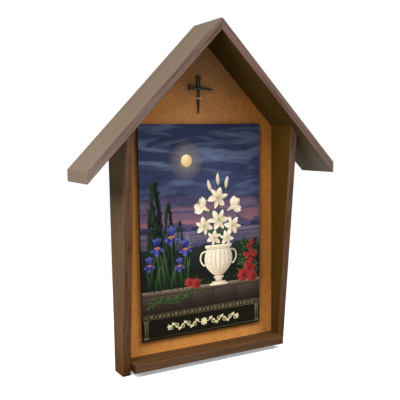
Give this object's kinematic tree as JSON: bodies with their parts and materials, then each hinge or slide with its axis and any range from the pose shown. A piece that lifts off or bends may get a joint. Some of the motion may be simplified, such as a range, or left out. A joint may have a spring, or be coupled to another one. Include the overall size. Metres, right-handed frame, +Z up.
{
  "type": "wayside shrine",
  "caption": "Gabled wooden shadow-box shrine: pitched board roof, tapering side boards, sill and back panel that shelter a flat picture below a cross made of nails.",
  "frame": {"origin": "middle of the object's bounding box in plan, at the height of the feet", "axes": "+Z up, -Y out of the front of the niche, +X to the right as seen from the front"},
  "size_m": [0.62, 0.118, 0.7667],
  "materials": {
    "stained_board": "brown stained, weathered matt",
    "amber_panel": "amber stained, satin",
    "picture_edge": "matt dark composite board",
    "picture_face": "laminated print, low gloss",
    "nail_iron": "dark forged iron",
    "staple_wire": "bright drawn wire"
  },
  "bodies": {
    "root": {"left_roof_board": "stained_board", "right_roof_board": "stained_board", "left_side_board": "stained_board", "right_side_board": "stained_board", "sill": "stained_board", "back_panel": "amber_panel", "picture_board": "picture_edge", "picture_print": "picture_face", "cross_upright": "nail_iron", "cross_arm": "nail_iron", "cross_staple": "staple_wire"}
  },
  "joints": []
}
